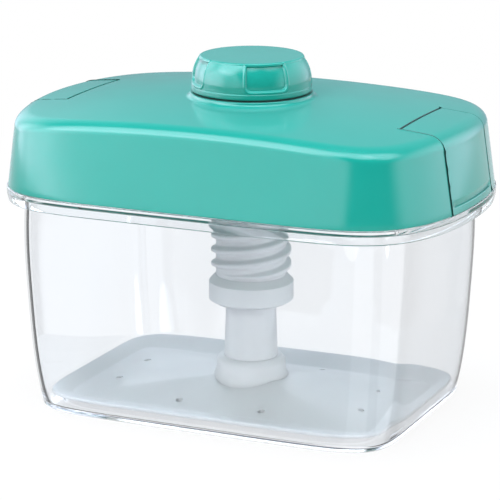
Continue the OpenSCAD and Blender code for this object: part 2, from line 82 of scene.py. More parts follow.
# One quarter of the bowed outline |x/a|^n + |y/b|^m = 1, from (a, 0) to (0, b):
# dense points and the length run so far
def quarterOutline(half, bow):
    w = np.linspace(0, 1, shared["outlineSamples"])
    p, q = bow[1] / 2, bow[0] / 2
    t = np.pi / 2 * w ** p / (w ** p + (1 - w) ** q)
    x = half[0] * np.abs(np.cos(t)) ** (2 / bow[0])
    y = half[1] * np.abs(np.sin(t)) ** (2 / bow[1])
    x[-1], y[0] = 0, 0
    run = np.concatenate([[0], np.cumsum(np.hypot(np.diff(x), np.diff(y)))])
    return x, y, run


# The whole loop from its first quarter by mirroring, counter-clockwise from +X
def mirroredLoop(x, y):
    q1 = np.stack([x, y], 1)
    q2 = (q1 * [-1, 1])[::-1]
    q3 = q1 * [-1, -1]
    q4 = (q1 * [1, -1])[::-1]
    return np.concatenate([q1[:-1], q2[:-1], q3[:-1], q4[:-1]])


# Bowed outline with evenly spread points, as many in each quarter as asked
def bowedLoop(half, bow, perQuarter):
    x, y, run = quarterOutline(half, bow)
    s = np.linspace(0, run[-1], perQuarter + 1)
    return mirroredLoop(np.interp(s, run, x), np.interp(s, run, y))


# Bowed outline whose points break at y = breakY near both ends: endSteps points up to it, sideSteps past it
def brokenLoop(half, bow, breakY, endSteps, sideSteps):
    x, y, run = quarterOutline(half, bow)
    at = np.interp(breakY, y, run)
    s = np.concatenate([np.linspace(0, at, endSteps + 1), np.linspace(at, run[-1], sideSteps + 1)[1:]])
    return mirroredLoop(np.interp(s, run, x), np.interp(s, run, y))


# Loop of points lifted to a height, one number or one for each point
def lifted(loop, z):
    return np.column_stack([loop, np.broadcast_to(z, len(loop))])


# Points round the axis at angles a, with one radius or one for each angle
def roundRow(a, r, z):
    return np.stack([r * np.cos(a), r * np.sin(a), np.broadcast_to(z, a.shape)], 1)


# Quads of a rows x cols grid of points, joined round in either direction where asked
def gridQuads(rows, cols, loopCols=True, loopRows=False):
    i = np.arange(rows if loopRows else rows - 1)[:, None]
    j = np.arange(cols if loopCols else cols - 1)[None, :]
    h, k = (i + 1) % rows, (j + 1) % cols
    return np.stack([i * cols + j, i * cols + k, h * cols + k, h * cols + j], -1)


# Turns all faces of a closed shell outwards, by the sign of its volume
def outward(points, faces):
    volume = 0
    for f in faces:
        for a in range(1, f.shape[1] - 1):
            cross = np.cross(points[f[:, a]], points[f[:, a + 1]])
            volume += np.einsum("ij,ij->i", points[f[:, 0]], cross).sum()
    return points, [f if volume > 0 else f[:, ::-1] for f in faces]


# Shell of rings stacked from the first to the last, closed by a fan at each end or joined round
def ringShell(rings, joined=False):
    rings = np.asarray(rings, float)
    rows, cols = rings.shape[:2]
    points = rings.reshape(-1, 3)
    quads = gridQuads(rows, cols, True, joined).reshape(-1, 4)
    if joined:
        return outward(points, [quads])
    k = np.arange(cols)
    n = (k + 1) % cols
    last = (rows - 1) * cols
    points = np.concatenate([points, [rings[0].mean(0), rings[-1].mean(0)]])
    fans = np.concatenate([np.stack([np.full(cols, len(points) - 2), n, k], 1),
                           np.stack([np.full(cols, len(points) - 1), last + k, last + n], 1)])
    return outward(points, [quads, fans])


# Turned shell: half profile of (radius, height) points carried round the axis, open ends drawn in to the axis
def turnedShell(profile, cols, joined=False):
    if not joined:
        profile = [(shared["axisRadius"], profile[0][1])] + profile + [(shared["axisRadius"], profile[-1][1])]
    a = fullTurn(cols)
    return ringShell([roundRow(a, r, z) for r, z in profile], joined)


# Flat slab: closed outline of (across, up) points in an upright plane, thickened from near to far along
# the axis, 0 for X with the outline in YZ or 1 for Y with the outline in XZ
def slab(outline, near, far, axis):
    outline = np.array(outline, float)
    order = [1, 0, 2] if axis == 1 else [0, 1, 2]
    return ringShell([np.column_stack([np.full(len(outline), d), outline])[:, order] for d in (near, far)])


# New object in the scene for a mesh, lamp or camera
def linked(name, data):
    holder = bpy.data.objects.new(name, data)
    bpy.context.scene.collection.objects.link(holder)
    return holder


# Object with all its shells in one mesh
def shellObject(name, shells, scale=1.0):
    points, rows, base = [], [], 0
    for p, groups in shells:
        points.append(p * scale)
        rows += [row for f in groups for row in (f + base).tolist()]
        base += len(p)
    mesh = bpy.data.meshes.new(name)
    mesh.from_pydata(np.concatenate(points).tolist(), [], rows)
    return linked(name, mesh)


nodeOf = {
    "clearBox": "container", "lidShell": "lid", "leftClipShell": "left_clip", "rightClipShell": "right_clip",
    "gripKnob": "knob", "threadedTube": "screw_tube", "tubeCollar": "tube_collar", "slipRing": "slip_washer",
    "coilSpring": "pressure_spring", "stemHead": "stem_head", "pressStem": "press_stem",
    "pressPlate": "press_plate",
}
normalWeight = 60


# One piece on its body and in its node's place, with rounded edges or, without a bevel, with sharp ones; the
# walls of a narrow gap can be marked for painted shade
def addPiece(name, shells, body, material, bevel=0.0, segments=2, angle=38, paintedShadeGroups=0):
    piece = shellObject(name, shells, mm)
    mesh = piece.data
    count = len(mesh.polygons)
    mesh.polygons.foreach_set("use_smooth", np.ones(count, bool))
    if paintedShadeGroups:  # the first shell's last groups are walls of a narrow gap: they are marked for painted shade, standing in for the shadow that falls inside the gap
        sizes = [len(f) for f in shells[0][1]]
        dark = np.zeros(count, np.float32)
        dark[sum(sizes[:-paintedShadeGroups]):sum(sizes)] = 1
        mesh.attributes.new("paintedShadeMask", "FLOAT", "FACE").data.foreach_set("value", dark)
    if not bevel:
        mesh.set_sharp_from_angle(angle=math.radians(angle))
    mesh.update()
    mesh.materials.append(material)
    if bevel:
        edge = piece.modifiers.new("roundedEdges", "BEVEL")
        edge.width, edge.segments, edge.limit_method = bevel * mm, segments, "ANGLE"
        edge.angle_limit = math.radians(angle)
        edge.miter_outer = "MITER_ARC"
        smooth = piece.modifiers.new("evenShading", "WEIGHTED_NORMAL")
        smooth.keep_sharp, smooth.weight = True, normalWeight
    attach(piece, body)
    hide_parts(nodeOf[name])
    print("made", name, "with", count, "faces")
    return piece


# Shader nodes

# Sets a socket to a value, or links it to the output that is given instead
def feed(tree, socket, value):
    if isinstance(value, bpy.types.NodeSocket):
        tree.links.new(value, socket)
    else:
        socket.default_value = value


# Result of a maths node for two values or outputs
def mathNode(tree, operation, first, second):
    node = tree.nodes.new("ShaderNodeMath")
    node.operation = operation
    feed(tree, node.inputs[0], first)
    feed(tree, node.inputs[1], second)
    return node.outputs["Value"]


# Smooth step of an output, from toLow at low to toHigh at high
def stepNode(tree, value, low, high, toLow, toHigh):
    node = tree.nodes.new("ShaderNodeMapRange")
    node.interpolation_type = "SMOOTHSTEP"
    for label, number in (("From Min", low), ("From Max", high), ("To Min", toLow), ("To Max", toHigh)):
        node.inputs[label].default_value = number
    tree.links.new(value, node.inputs["Value"])
    return node.outputs["Result"]


# Shader that is the first where the share is 0 and the second where it is 1
def mixedShader(tree, share, first, second):
    node = tree.nodes.new("ShaderNodeMixShader")
    for socket, value in zip(node.inputs, (share, first, second)):
        tree.links.new(value, socket)
    return node.outputs["Shader"]


# Materials

skinNoise = {
    "peelDetail": 2.0, "flowDetail": 3.0, "hazeDetail": 4.0, "hazeScale": 65.0, "spread": (0.35, 0.65),
}


# Moulded skin: fine orange peel for the bump, a slow flow mottle and a fine gloss variation, all by noise
def mouldedSkinGroup():
    group = bpy.data.node_groups.new("mouldedSkin", "ShaderNodeTree")
    for label in ("Peel Scale", "Flow Scale", "Gloss Low", "Gloss High"):
        group.interface.new_socket(label, in_out="INPUT", socket_type="NodeSocketFloat")
    group.interface.new_socket("Vector", in_out="INPUT", socket_type="NodeSocketVector")
    for label in ("Height", "Flow", "Roughness"):
        group.interface.new_socket(label, in_out="OUTPUT", socket_type="NodeSocketFloat")
    nodes, links = group.nodes, group.links
    gate, out = nodes.new("NodeGroupInput"), nodes.new("NodeGroupOutput")
    peel, flow, haze = (nodes.new("ShaderNodeTexNoise") for _ in range(3))
    gloss = nodes.new("ShaderNodeMapRange")
    for noise, detail in ((peel, "peelDetail"), (flow, "flowDetail"), (haze, "hazeDetail")):
        noise.inputs["Detail"].default_value = skinNoise[detail]
        links.new(gate.outputs["Vector"], noise.inputs["Vector"])
    haze.inputs["Scale"].default_value = skinNoise["hazeScale"]
    links.new(gate.outputs["Peel Scale"], peel.inputs["Scale"])
    links.new(gate.outputs["Flow Scale"], flow.inputs["Scale"])
    for label, value in zip(("From Min", "From Max"), skinNoise["spread"]):
        gloss.inputs[label].default_value = value
    links.new(haze.outputs["Fac"], gloss.inputs["Value"])
    links.new(gate.outputs["Gloss Low"], gloss.inputs["To Min"])
    links.new(gate.outputs["Gloss High"], gloss.inputs["To Max"])
    links.new(peel.outputs["Fac"], out.inputs["Height"])
    links.new(flow.outputs["Fac"], out.inputs["Flow"])
    links.new(gloss.outputs["Result"], out.inputs["Roughness"])
    return group


mouldedSkin = mouldedSkinGroup()


# sRGB byte colour to the linear colour that the sockets take
def linearColour(rgb):
    c = np.array(rgb, float) / 255
    return (*np.where(c <= 0.04045, c / 12.92, ((c + 0.055) / 1.055) ** 2.4), 1.0)


# Material with the moulded skin, on Object coordinates, feeding colour, roughness and bump of its shader,
# with painted shade on the walls of narrow gaps where the look gives a colour for it
def mouldedMaterial(name, look):
    material = bpy.data.materials.new(name)
    material.use_nodes = True
    nodes, links = material.node_tree.nodes, material.node_tree.links
    shader = nodes["Principled BSDF"]
    place, skin = nodes.new("ShaderNodeTexCoord"), nodes.new("ShaderNodeGroup")
    ramp, bump = nodes.new("ShaderNodeValToRGB"), nodes.new("ShaderNodeBump")
    skin.node_tree = mouldedSkin
    for label, value in (("Peel Scale", look["peelScale"]), ("Flow Scale", look["flowScale"]),
                         ("Gloss Low", look["gloss"][0]), ("Gloss High", look["gloss"][1])):
        skin.inputs[label].default_value = value
    for element, position, tone in zip(ramp.color_ramp.elements, skinNoise["spread"], ("dark", "light")):
        element.position, element.color = position, linearColour(look[tone])
    bump.inputs["Strength"].default_value = look["bump"]
    bump.inputs["Distance"].default_value = look["bumpDepth"]
    links.new(place.outputs["Object"], skin.inputs["Vector"])
    links.new(skin.outputs["Flow"], ramp.inputs["Fac"])
    colour = ramp.outputs["Color"]
    # Painted shade: faces marked as gap walls are mixed towards a dark teal that stands in for the shadow
    # inside the narrow gaps
    if "paintedShadeColour" in look:
        gap, shade = nodes.new("ShaderNodeAttribute"), nodes.new("ShaderNodeMix")
        gap.attribute_name = "paintedShadeMask"
        shade.data_type = "RGBA"
        shade.inputs["B"].default_value = linearColour(look["paintedShadeColour"])
        links.new(gap.outputs["Fac"], shade.inputs["Factor"])
        links.new(colour, shade.inputs["A"])
        colour = shade.outputs["Result"]
    links.new(colour, shader.inputs["Base Color"])
    links.new(skin.outputs["Roughness"], shader.inputs["Roughness"])
    links.new(skin.outputs["Height"], bump.inputs["Height"])
    links.new(bump.outputs["Normal"], shader.inputs["Normal"])
    for label, value in look["shader"].items():
        shader.inputs[label].default_value = value
    return material


tealLook = {
    # One colour here is painted shade: a darker teal for the walls inside the narrow gaps round the clips,
    # where shadow falls
    "dark": (16, 160, 144), "light": (22, 164, 148), "paintedShadeColour": (12, 84, 74), "gloss": (0.12, 0.17),
    "peelScale": 1500.0, "flowScale": 14.0, "bump": 0.01, "bumpDepth": 0.0002,
    "shader": {"IOR": 1.5, "Sheen Weight": 0.24, "Sheen Roughness": 0.5,
               "Sheen Tint": (0.82, 0.88, 1.0, 1.0)},
}
milkyLook = {
    "dark": (222, 223, 226), "light": (228, 229, 232), "gloss": (0.38, 0.48),
    "peelScale": 600.0, "flowScale": 22.0, "bump": 0.08, "bumpDepth": 0.0004,
    "shader": {"IOR": 1.49, "Subsurface Weight": 0.3, "Subsurface Scale": 0.004,
               "Subsurface Radius": (1.0, 1.0, 1.0)},
}
washerLook = {
    "dark": (196, 194, 186), "light": (206, 204, 198), "gloss": (0.3, 0.4),
    "peelScale": 800.0, "flowScale": 30.0, "bump": 0.05, "bumpDepth": 0.0003, "shader": {"IOR": 1.48},
}
springLook = {
    "dark": (166, 166, 168), "light": (196, 196, 200), "gloss": (0.2, 0.34),
    "peelScale": 2400.0, "flowScale": 300.0, "bump": 0.1, "bumpDepth": 0.0002, "shader": {"Metallic": 1.0},
}
clearLook = {
    "dark": (252, 254, 255), "light": (254, 255, 255), "gloss": (0.0, 0.03),
    "peelScale": 60.0, "flowScale": 9.0, "bump": 0.02, "bumpDepth": 0.0005,
    "shader": {"IOR": 1.5, "Transmission Weight": 1.0}, "shadowTint": (0.93, 0.95, 0.96, 1.0), "deepRay": 9.5,
}
tealPlastic = mouldedMaterial("tealPlastic", tealLook)
milkyPlastic = mouldedMaterial("milkyPlastic", milkyLook)
washerPlastic = mouldedMaterial("washerPlastic", washerLook)
springSteel = mouldedMaterial("springSteel", springLook)
clearPlastic = mouldedMaterial("clearPlastic", clearLook)


# Clear walls let lamp light through, and light that has bounced too often inside them leaves straight on:
# a transparent shader takes over for shadow rays and for deep rays
def passLamps(material, look):
    tree = material.node_tree
    path, through = tree.nodes.new("ShaderNodeLightPath"), tree.nodes.new("ShaderNodeBsdfTransparent")
    through.inputs["Color"].default_value = look["shadowTint"]
    deep = mathNode(tree, "GREATER_THAN", path.outputs["Ray Depth"], look["deepRay"])
    either = mathNode(tree, "MAXIMUM", path.outputs["Is Shadow Ray"], deep)
    shader = tree.nodes["Principled BSDF"]
    surface = mixedShader(tree, either, shader.outputs["BSDF"], through.outputs["BSDF"])
    tree.links.new(surface, tree.nodes["Material Output"].inputs["Surface"])


passLamps(clearPlastic, clearLook)
print("materials made")


# Container

box = {
    "wall": 2.4, "floorTop": 2.4, "footHeight": 0.6, "footWidth": 5.0, "footRadius": 3.0, "floorRadius": 1.6,
    "rimHeight": 101.0, "rimOverhang": 0.5, "rimThickness": 2.4, "rimDepth": 6.2, "lipTaper": 0.25,
    "top": 107.0, "beadLevel": 104.6, "beadReach": 1.4, "beadHeight": 1.6, "insideBow": (7.3, 9.2),
    "swell": 2.3, "perQuarter": 60, "wallSteps": 24, "arcSteps": 7, "middle": 0.4,
    "edgeRound": 0.5, "edgeSegments": 3, "edgeAngle": 30,
}


# Rings of the box from under its floor, up the outside, over rim, lip, upstand and bead, and down the inside;
# at the share w of its height the wall swells by swell * (1 - |2w - 1|^3)
def clearBox():
    base, mouth = np.array(shared["baseHalf"]), np.array(shared["mouthHalf"])
    lip = np.array(shared["lidHalf"]) + box["rimOverhang"]
    rim, foot, wall, taper = box["rimHeight"], box["footRadius"], box["wall"], box["lipTaper"]
    under, lipFoot = rim - box["rimThickness"], rim - box["rimDepth"]
    inFoot, floor = base - foot - box["footWidth"], base - wall
    quarter, heights = quarterTurn(box["arcSteps"]), shares(box["wallSteps"])[1:]

    def ring(half, z, bow=shared["wallBow"]):
        return lifted(bowedLoop(half, bow, box["perQuarter"]), z)

    def inside(half, z):
        return ring(half, z, box["insideBow"])

    def wallHalf(w):
        return base + (mouth - base) * w + box["swell"] * (1 - abs(2 * w - 1) ** 3)

    def wallZ(w):
        return foot + (under - foot) * w

    rings = [ring(inFoot * box["middle"], box["footHeight"]),
             ring(inFoot - box["footHeight"], box["footHeight"]), ring(inFoot, 0)]
    rings += [ring(base - foot * (1 - math.sin(t)), foot * (1 - math.cos(t))) for t in quarter]
    rings += [ring(wallHalf(w), wallZ(w)) for w in heights]
    for share, z in ((1, under), (1 - taper, lipFoot), (taper, lipFoot), (0, (rim + lipFoot) / 2), (0, rim)):
        rings.append(ring(lip - share * box["rimThickness"], z, shared["lidBow"]))
    bead, reach, tall = box["beadLevel"], box["beadReach"], box["beadHeight"]
    for out, z in ((0, rim), (0, bead), (reach, bead), (reach, bead + tall / 2), (0, bead + tall),
                   (0, box["top"])):
        rings.append(ring(mouth + out, z))
    rings.append(inside(mouth - wall, box["top"]))
    rings += [inside(wallHalf(w) - wall, wallZ(w)) for w in heights[::-1]]
    rings += [inside(floor - box["floorRadius"] * (1 - math.cos(t)),
                     box["floorTop"] + box["floorRadius"] * (1 - math.sin(t))) for t in quarter]
    rings.append(inside(floor * box["middle"], box["floorTop"]))
    return addPiece("clearBox", [ringShell(rings)], "container", clearPlastic,
                    bevel=box["edgeRound"], segments=box["edgeSegments"], angle=box["edgeAngle"])


clearBox()


# Lid and end clips

lid = {
    "notchX": 79.0, "notchY": (25.5, 26.1), "endSteps": 14, "sideSteps": 34, "sideSwing": 0.16,
    "bossRadius": 27.4, "bossTop": 142.0, "bossFillet": 2.2, "bossRows": (22.0, 26.0), "bossInset": 0.5,
    "filletSteps": 8, "domeSteps": 14, "rimSteps": 6, "skirtSteps": 10, "ceilingSteps": 12,
    "sleeveOut": 21.3, "sleeveFoot": 120.5, "sleeveFillet": (1.5, 2.0), "sleeveRow": 130.0,
    "boreRows": (128.0, 136.0), "ribThickness": 1.8, "ribDepth": 11.0, "ribEnd": 3.0, "ribEnds": 73.0,
    "ribSides": 54.5, "ribRoot": 1.5, "ribSink": 0.3, "lugAngle": 12.0, "lugHeight": 1.4, "lugTip": 16.316,
    "lugRoot": 0.6, "lugSteps": 6, "edgeRound": 0.35,
}
clipShape = {
    "innerX": 80.2, "halfWidth": (25.0, 24.4), "columns": 44, "topSteps": 8,
    "skirtRows": ((1, 0.26, 12), (0.24, 0.07, 22), (0.05, 0, 4)),
    "grooveDepth": 0.9, "grooveLow": 104.3, "grooveHigh": 107.1, "grooveLip": (0.3, 0.25),
    "grooveHalf": 23.0, "grooveEnd": (0.5, 1.5), "hookLevel": 101.9, "hookThickness": 2.2, "hookTip": 91.45,
    "hookHalf": 13.0, "hookLead": (0.9, 0.7), "hookEdge": 0.2,
    "pinRadius": 1.7, "pinReach": 2.2, "pinSink": 0.1, "pinSides": 24, "edgeRound": 0.35,
}


# Fall of the lid's top at a point: a shallow dome, squares of x and y
def crown(x, y):
    return (shared["crownEnds"] * (x / shared["lidHalf"][0]) ** 2
            + shared["crownSides"] * (y / shared["lidHalf"][1]) ** 2)


# The lid's surface set in by s, as half sizes, bow, height and share of the crown:
# the skirt at the share u of its height
def skirtLevel(u, s):
    low, high = np.array(shared["lidHalf"]), np.array(shared["shoulderHalf"])
    bow = np.array(shared["lidBow"]) + u * (np.array(shared["shoulderBow"]) - shared["lidBow"])
    shoulderFoot = shared["lidTop"] - shared["shoulderHeight"]
    return low + u * (high - low) - s, bow, shared["lidFoot"] + u * (shoulderFoot - shared["lidFoot"]), u


# The same at angle t of the round shoulder
def shoulderLevel(t, s):
    half = np.array(shared["shoulderHalf"]) - s - (np.array(shared["shoulderRound"]) - s) * (1 - math.cos(t))
    z = shared["lidTop"] - shared["shoulderHeight"] + (shared["shoulderHeight"] - s) * math.sin(t)
    return half, np.array(shared["shoulderBow"]), z, 1.0


# Rows of levels from the top of the shoulder down to the lower edge
def lidLevels(s, skirtShares):
    return ([shoulderLevel(t, s) for t in quarterTurn(shared["shoulderSteps"])[::-1]]
            + [skirtLevel(u, s) for u in skirtShares])


# Half width of a gap's side at height z: the first value on the lid's top, the second down its skirt
def widened(pair, z):
    down = float(ease(shared["lidTop"] - z, shared["skin"], shared["shoulderHeight"]))
    return pair[0] + (pair[1] - pair[0]) * down


# Outer skin from the raised ring over the dome and down the skirt, inner skin back up, and the sleeve:
# one band of rows joined round, with both end notches left out and their walls closed by strips
def lidShell():
    ends, perQuarter = lid["endSteps"], lid["endSteps"] + lid["sideSteps"]
    cols, inner = 4 * perQuarter, shared["skin"]

    def loopAt(half, bow, z):
        return brokenLoop(half, bow, widened(lid["notchY"], z), ends, lid["sideSteps"])

    # The ring of points that passes along x = notchX at both ends and swings inwards along the sides
    def notchRing(edge):
        k = np.arange(cols) % (2 * perQuarter)
        k = np.minimum(k, 2 * perQuarter - k)
        share = ease((k - ends) / lid["sideSteps"], 0, 1)[:, None]
        atEnd = k <= ends
        reach = np.abs(edge[ends, 0]) - lid["notchX"]
        endwards = np.stack([np.sign(edge[:, 0]) * reach, np.zeros(cols)], 1)
        ring = edge - ((1 - share) * endwards + share * lid["sideSwing"] * edge)
        ring[atEnd, 0] = np.sign(edge[atEnd, 0]) * lid["notchX"]
        ring[atEnd, 1] = edge[atEnd, 1]
        return ring

    def dome(loop, s):
        return lifted(loop, shared["lidTop"] - s - crown(loop[:, 0], loop[:, 1]))

    def between(first, second, steps, s):
        return [dome(first + (second - first) * w, s) for w in steps]

    def skinRows(s):
        rows = []
        for half, bow, z, share in lidLevels(s, shares(lid["skirtSteps"])[-2::-1]):
            loop = loopAt(half, bow, z)
            rows.append(lifted(loop, z - share * crown(loop[:, 0], loop[:, 1])))
        return rows

    outerEdge, innerEdge = (loopAt(*shoulderLevel(math.pi / 2, s)[:3]) for s in (0, inner))
    outerNotch, innerNotch = notchRing(outerEdge), notchRing(innerEdge)
    turn = np.arctan2(outerNotch[:, 1], outerNotch[:, 0])

    def circle(r):
        return r * np.stack([np.cos(turn), np.sin(turn)], 1)

    boss, fillet = lid["bossRadius"], lid["bossFillet"]
    rows = [lifted(circle(r), lid["bossTop"])
            for r in (shared["sleeveBore"], *lid["bossRows"], boss - lid["bossInset"])]
    for t in quarterTurn(lid["filletSteps"])[::-1]:
        loop = circle(boss + fillet * (1 - math.sin(t)))
        low = shared["lidTop"] - crown(loop[:, 0], loop[:, 1])
        rows.append(lifted(loop, low + (lid["bossTop"] - low) * (1 - math.cos(t))))
    rows += between(circle(boss + fillet), outerNotch, shares(lid["domeSteps"])[1:], 0)
    outNotch = len(rows) - 1
    rows += between(outerNotch, outerEdge, shares(lid["rimSteps"])[1:-1], 0)
    rows += skinRows(0)
    foot = len(rows)
    rows += skinRows(inner)[::-1]
    rows += between(innerEdge, innerNotch, shares(lid["rimSteps"])[1:], inner)
    inNotch = len(rows) - 1
    wide, deep = lid["sleeveFillet"]
    rows += between(innerNotch, circle(lid["sleeveOut"] + wide), shares(lid["ceilingSteps"])[1:], inner)
    rows += [lifted(circle(lid["sleeveOut"]), z)
             for z in (shared["lidTop"] - inner - deep, lid["sleeveRow"], lid["sleeveFoot"])]
    rows += [lifted(circle(shared["sleeveBore"]), z) for z in (lid["sleeveFoot"], *lid["boreRows"])]

    quads = gridQuads(len(rows), cols, True, True)
    keep = np.ones((len(rows), cols), bool)
    strips = []
    for cells in (np.arange(-ends, ends) % cols, np.arange(-ends, ends) + 2 * perQuarter):
        keep[outNotch:inNotch, cells] = False
        after = (cells + 1) % cols
        strips.append(np.stack([outNotch * cols + cells, outNotch * cols + after,
                                inNotch * cols + after, inNotch * cols + cells], 1))
        k = np.arange(foot - outNotch - 1)
        for column, turned in ((cells[0], True), (after[-1], False)):
            wall = np.stack([outNotch + k, inNotch - k, inNotch - k - 1, outNotch + k + 1], 1) * cols + column
            strips.append(wall[:, ::-1] if turned else wall)
    shells = [outward(np.concatenate(rows), [quads[keep].reshape(-1, 4)] + strips)]

    # Ribs under the dome, ears for the clips' pins, short thread lugs in the sleeve
    middle, half = shared["lidTop"] - inner / 2, lid["ribThickness"] / 2
    start = lid["sleeveOut"] - lid["ribRoot"]
    for reach, axis, fall in ((lid["ribEnds"], 1, crown(lid["ribEnds"], 0)),
                              (lid["ribSides"], 0, crown(0, lid["ribSides"]))):
        for side in (-1, 1):
            outline = [(start, middle - lid["ribDepth"]), (start, middle - lid["ribSink"]),
                       (reach / 2, middle - fall / 4), (reach, middle - fall),
                       (reach, middle - fall - lid["ribEnd"])]
            shells.append(slab(np.array(outline) * [side, 1], -half, half, axis))
    for side in (-1, 1):
        for end in (-1, 1):
            near, thickness = end * lid["notchY"][1], shared["earThickness"]
            shells.append(earSlab(side, near, near + end * thickness, abs(near) + thickness))
    for level in (0, 1):
        for turnBy in (0, 180):
            shells.append(threadLug(shared["lugLevel"] + level * shared["pitch"], turnBy))
    # The strips that close the notches' walls carry painted shade, for the shadow inside the gaps round the
    # clips
    return addPiece("lidShell", shells, "lid", tealPlastic,
                    bevel=lid["edgeRound"], paintedShadeGroups=len(strips))


# Height of the middle of the lid's skin near an end: the dome, then the quarter ellipse of the shoulder
def middleSkin(x, y):
    s, half, bend = shared["skin"] / 2, shared["shoulderHalf"], shared["shoulderRound"][0]
    edge = half[0] * (1 - abs(y / half[1]) ** shared["shoulderBow"][1]) ** (1 / shared["shoulderBow"][0])
    over = np.maximum(0, x - (edge - bend)) / (bend - s)
    height = shared["shoulderHeight"]
    return shared["lidTop"] - height + (height - s) * np.sqrt(np.maximum(0, 1 - over ** 2)) - crown(x, y)


# Ear or web: a round end about the pivot, carried up into the middle of the skin
def earSlab(side, near, far, reachY):
    r, middle = shared["earRadius"], shared["pivotX"]
    roundSteps, topSteps = shared["earSteps"]
    t = -np.pi * shares(roundSteps)
    lower = np.stack([middle + r * np.cos(t), shared["pivotZ"] + r * np.sin(t)], 1)
    x = np.linspace(middle - r, middle + r, topSteps + 1)
    upper = np.stack([x, middleSkin(x, reachY)], 1)
    return slab(np.concatenate([lower, upper]) * [side, 1], near, far, 1)


# Thread lug: a short tapered block along the bore, four corner rails carried round a few degrees
def threadLug(z, turnBy):
    half, root = lid["lugHeight"] / 2, lid["lugRoot"]
    tip, back = lid["lugTip"], shared["sleeveBore"] + root
    r = np.array([tip, back, back, tip])
    rise = np.array([-half, -half - root, half + root, half])
    angles = np.radians(turnBy + lid["lugAngle"] * (shares(lid["lugSteps"]) - 0.5))
    return ringShell([np.column_stack([r * math.cos(t), r * math.sin(t), z + rise]) for t in angles])


# End clip on one side: rows down the lid's surface against columns across it, outside, then inside back up,
# joined round; the finger groove is a scoop that is deepest at its lower edge
def endClip(side, name, body):
    c = clipShape
    share = np.linspace(-1, 1, c["columns"] + 1)
    topHalf, skirtHalf = c["halfWidth"]
    skirtShares = np.concatenate([np.linspace(*span) for span in c["skirtRows"]])[1:]

    def skin(s):
        down = []
        for half, bow, z, fall in lidLevels(s, skirtShares):
            y = share * widened(c["halfWidth"], z)
            x = half[0] * (1 - np.abs(y / half[1]) ** bow[1]) ** (1 / bow[0])
            down.append(np.stack([x, y, z - fall * crown(x, y)], 1))
        over = []
        for w in shares(c["topSteps"])[:-1]:
            x = c["innerX"] + (down[0][:, 0] - c["innerX"]) * w
            y = share * topHalf
            over.append(np.stack([x, y, shared["lidTop"] - s - crown(x, y)], 1))
        return np.array(over + down)

    out, back = skin(0), skin(shared["skin"])
    z, low, high = out[:, :, 2], c["grooveLow"], c["grooveHigh"]
    depth = (ease(z, low - c["grooveLip"][0], low + c["grooveLip"][1])
             * np.clip((high - z) / (high - low), 0, 1))
    none, full = c["grooveHalf"] + c["grooveEnd"][0], c["grooveHalf"] - c["grooveEnd"][1]
    across = ease(np.abs(share * skirtHalf), none, full)
    out[:, :, 0] -= c["grooveDepth"] * depth * across
    rings = np.concatenate([out, back[::-1]]) * [side, 1, 1]
    rows, cols = rings.shape[:2]
    quads = gridQuads(rows, cols, False, True).reshape(-1, 4)
    k = np.arange(rows // 2 - 1)
    sides = []
    for column, turned in ((0, True), (cols - 1, False)):
        wall = np.stack([k, k + 1, rows - 2 - k, rows - 1 - k], 1) * cols + column
        sides.append(wall[:, ::-1] if turned else wall)
    shells = [outward(rings.reshape(-1, 3), [quads] + sides)]
    a = fullTurn(c["pinSides"])
    pin = np.stack([shared["pivotX"] * side + c["pinRadius"] * np.cos(a),
                    shared["pivotZ"] + c["pinRadius"] * np.sin(a)], 1)
    for end in (-1, 1):
        edge = end * skirtHalf
        shells.append(earSlab(side, edge - end * shared["earThickness"], edge, skirtHalf))
        shells.append(slab(pin, edge - end * c["pinSink"], edge + end * c["pinReach"], 1))
    low, high, e = c["hookLevel"], c["hookLevel"] + c["hookThickness"], c["hookEdge"]
    tip, root = c["hookTip"], shared["lidHalf"][0] - shared["skin"] - e
    hook = [(tip, low + c["hookLead"][1]), (tip + c["hookLead"][0], low), (root, low), (root, high),
            (tip + e, high), (tip, high - e)]
    shells.append(slab(np.array(hook) * [side, 1], -c["hookHalf"], c["hookHalf"], 1))
    # The clip's side walls carry painted shade, for the shadow inside the gaps beside the lid
    return addPiece(name, shells, body, tealPlastic,
                    bevel=c["edgeRound"], paintedShadeGroups=len(sides))


lidShell()
endClip(-1, "leftClipShell", "left_clip")
endClip(1, "rightClipShell", "right_clip")


# Knob

knob = {
    "foot": 142.8, "height": 15.6, "footRadius": 26.7, "topRadius": 22.8, "straight": 5.0, "edge": 0.9,
    "wall": 2.4, "panels": 4, "panelDepth": 1.2, "panelHalfAngle": 20.5, "panelFoot": 3.8, "panelTop": 14.3,
    "panelTurn": -51.0, "panelCorner": 2.4, "panelSlope": 0.5,
    "frameWidth": 0.45, "frameRise": 0.28, "frameOff": 1.6,
    "bandTop": 2.3, "bandStep": 0.3, "bandEdge": (0.15, 0.2), "footRound": (0.5, 0.15),
    "socketRadius": 15.75, "socketWall": 2.6, "socketDepth": 9.0, "columns": 960, "insideRows": 8,
    "sideRows": ((0.9, 0.9, 1), (1.5, 2.0, 2), (2.1, 5.6, 30), (5.9, 13.6, 14), (13.8, 14.7, 9)),
    "edgeSteps": 6, "topShares": (0.95, 0.8, 0.5, 0.2), "edgeRound": 0.25, "edgeAngle": 50,
}


# Radius of the knob's side at height h: straight, then drawn in along an arc
def knobSide(h):
    fall, rise = knob["footRadius"] - knob["topRadius"], knob["height"] - knob["straight"]
    arc = (fall ** 2 + rise ** 2) / (2 * fall)
    return knob["footRadius"] - arc + np.sqrt(arc ** 2 - np.maximum(0, h - knob["straight"]) ** 2)


